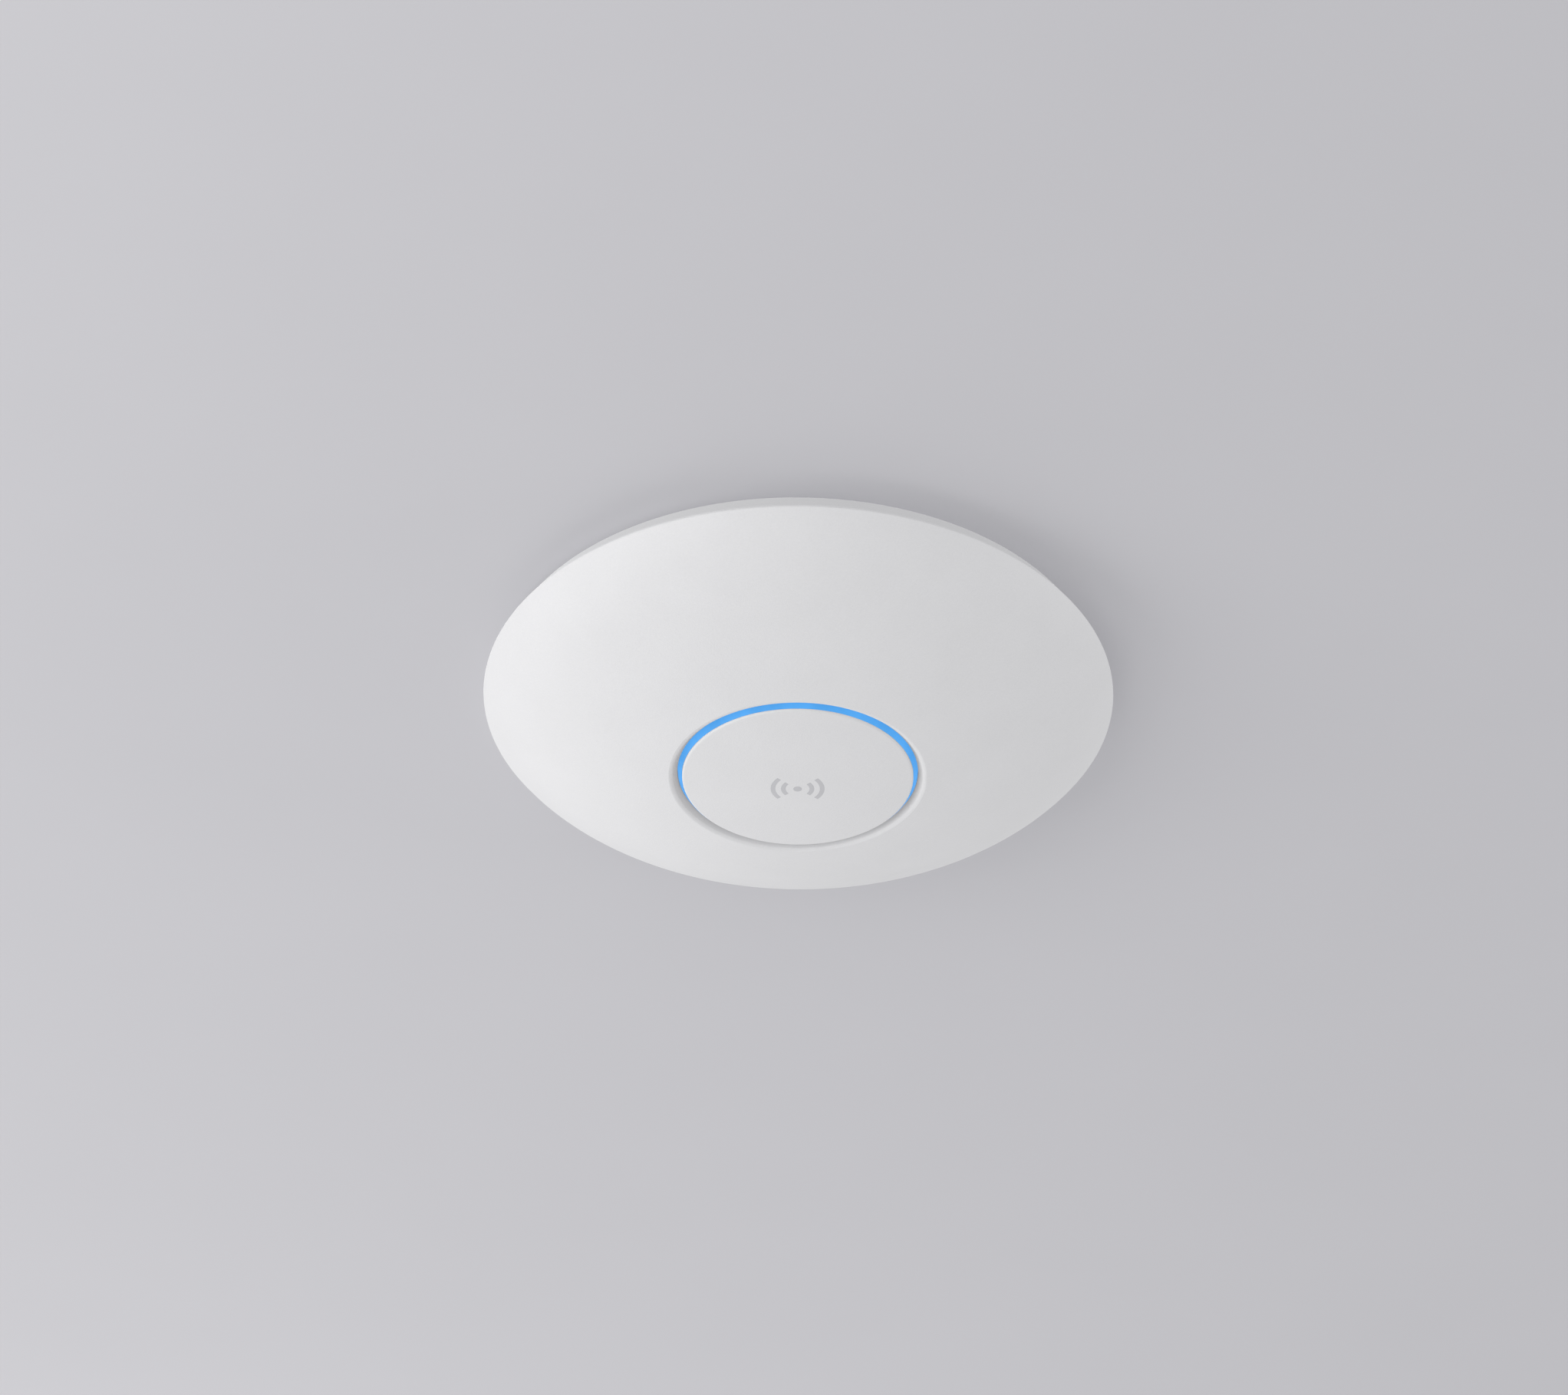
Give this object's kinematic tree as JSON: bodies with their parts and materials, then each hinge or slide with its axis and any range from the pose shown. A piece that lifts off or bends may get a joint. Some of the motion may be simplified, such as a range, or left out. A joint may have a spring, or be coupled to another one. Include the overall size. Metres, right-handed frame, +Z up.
{
  "type": "ceiling wireless access point",
  "caption": "Round shallow white dome with a lit blue ring round its centre cap, a tapered rear shell and a twist-on ceiling bracket with a cable opening.",
  "frame": {"origin": "centre of the four-screw circle in the bracket's ceiling face", "axes": "+Z up into the ceiling, -Y towards the side with the cable bay, +X to its right"},
  "size_m": [0.16, 0.16, 0.033],
  "materials": {
    "white_shell": "fine-textured matt white",
    "rear_shell": "fine-textured matt light grey-white",
    "bracket_plastic": "matt white glass-filled plastic",
    "lever_plastic": "smooth grey acetal",
    "pin_steel": "zinc-plated",
    "screw_steel": "zinc-plated",
    "light_guide": "translucent, lit blue",
    "emblem_grey": "printed grey",
    "label_paper": "silver-white label",
    "cast_aluminium": "cast",
    "thermal_silicone": "soft blue-grey pad",
    "circuit_board": "green solder resist",
    "light_board": "white solder resist",
    "chip_black": "moulded epoxy",
    "crystal_can": "nickel-plated",
    "ceramic_chip": "brown ceramic",
    "shield_tin": "tin-plated",
    "jack_metal": "nickel-plated",
    "jack_black": "moulded black",
    "contact_gold": "gold-plated",
    "foam_black": "foam gasket",
    "capacitor_can": "bright can",
    "ferrite": "dark ferrite",
    "switch_body": "moulded black",
    "button_plastic": "moulded dark grey",
    "aerial_metal": "tin-plated brass",
    "led_package": "white package",
    "connector_plastic": "cream nylon",
    "flat_cable": "flat cable film"
  },
  "bodies": {
    "bracket": {"mounting_bracket": "bracket_plastic", "latch_pin": "pin_steel"},
    "latch": {"latch_arm": "lever_plastic"},
    "housing": {"back_cover": "rear_shell", "cover_screws": "screw_steel", "rating_label": "label_paper", "front_cover": "white_shell", "light_ring": "light_guide", "centre_cap": "white_shell", "cap_emblem": "emblem_grey", "main_board": "circuit_board", "board_screws": "screw_steel", "processor": "chip_black", "radio_chips": "chip_black", "memory_chips": "chip_black", "crystals": "crystal_can", "ceramic_capacitors": "ceramic_chip", "shield_frames": "shield_tin", "shield_lids": "shield_tin", "thermal_pads": "thermal_silicone", "heat_sink": "cast_aluminium", "jack_shell": "jack_metal", "jack_insert": "jack_black", "jack_contacts": "contact_gold", "jack_gasket": "foam_black", "network_transformer": "chip_black", "bulk_capacitors": "capacitor_can", "power_inductors": "ferrite", "poe_transformer": "ferrite", "reset_switch": "switch_body", "antennas_low_band": "aerial_metal", "antennas_high_band": "aerial_metal", "led_board": "light_board", "led_board_screws": "screw_steel", "status_leds": "led_package", "board_connectors": "connector_plastic", "led_cable": "flat_cable"},
    "reset_button": {"reset_button": "button_plastic", "switch_stem": "button_plastic"}
  },
  "joints": [
    {"name": "body_twist", "type": "hinge", "parent": "bracket", "child": "housing", "pos_m": [0, 0, 0], "axis": [0, 0, 1], "range_deg": [-18, 0]},
    {"name": "latch_swing", "type": "hinge", "parent": "bracket", "child": "latch", "pos_m": [-0.015, 0.0425, -0.003], "axis": [0, 0, 1], "range_deg": [-4.6, 0]},
    {"name": "reset_press", "type": "slide", "parent": "housing", "child": "reset_button", "axis": [0, 0, -1], "range_m": [0, 0.0003], "stiffness_N_per_m": 1000, "springref_m": -0.0005}
  ],
  "couplings": [
    {"joint": "latch_swing", "follows": "body_twist", "ratio": 0.2522}
  ]
}
